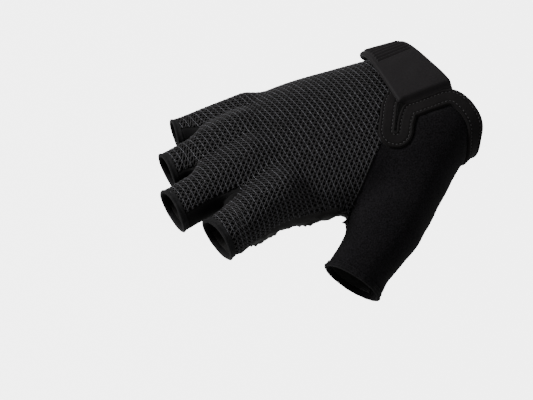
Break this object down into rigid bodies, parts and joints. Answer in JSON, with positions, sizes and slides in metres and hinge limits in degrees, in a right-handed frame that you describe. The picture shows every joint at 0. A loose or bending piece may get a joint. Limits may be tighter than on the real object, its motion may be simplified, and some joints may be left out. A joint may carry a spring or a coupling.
{
  "type": "cycling glove",
  "caption": "Fingerless right-hand cycling glove with a net back, leather-like palm, fleecy thumb, bound wrist slit and a ribbed closing strap, shaped as worn.",
  "frame": {"origin": "middle of the wrist opening, where the wrist passes through", "axes": "+X up the forearm, so the fingers point to -X; +Y towards the little finger; +Z out of the back of the hand"},
  "size_m": [0.1322, 0.1064, 0.0591],
  "materials": {
    "net_cloth": "open black net over black cloth",
    "palm_suede": "matte black suede",
    "stretch_cloth": "smooth black stretch cloth",
    "brushed_cloth": "brushed black fleece",
    "trim_cloth": "matte brownish black binding",
    "strap_cloth": "soft matte dark grey",
    "fastener": "hook patch"
  },
  "bodies": {
    "root": {"back_panel": "net_cloth", "palm_panel": "palm_suede", "fourchette_index_middle": "stretch_cloth", "fourchette_middle_ring": "stretch_cloth", "fourchette_ring_little": "stretch_cloth", "thumb_panel": "brushed_cloth", "thumb_gusset": "palm_suede", "hem_index": "trim_cloth", "hem_middle": "trim_cloth", "hem_ring": "trim_cloth", "hem_little": "trim_cloth", "hem_thumb": "trim_cloth", "cuff_binding": "trim_cloth", "wrist_strap": "strap_cloth", "strap_fastener": "fastener"}
  },
  "joints": []
}
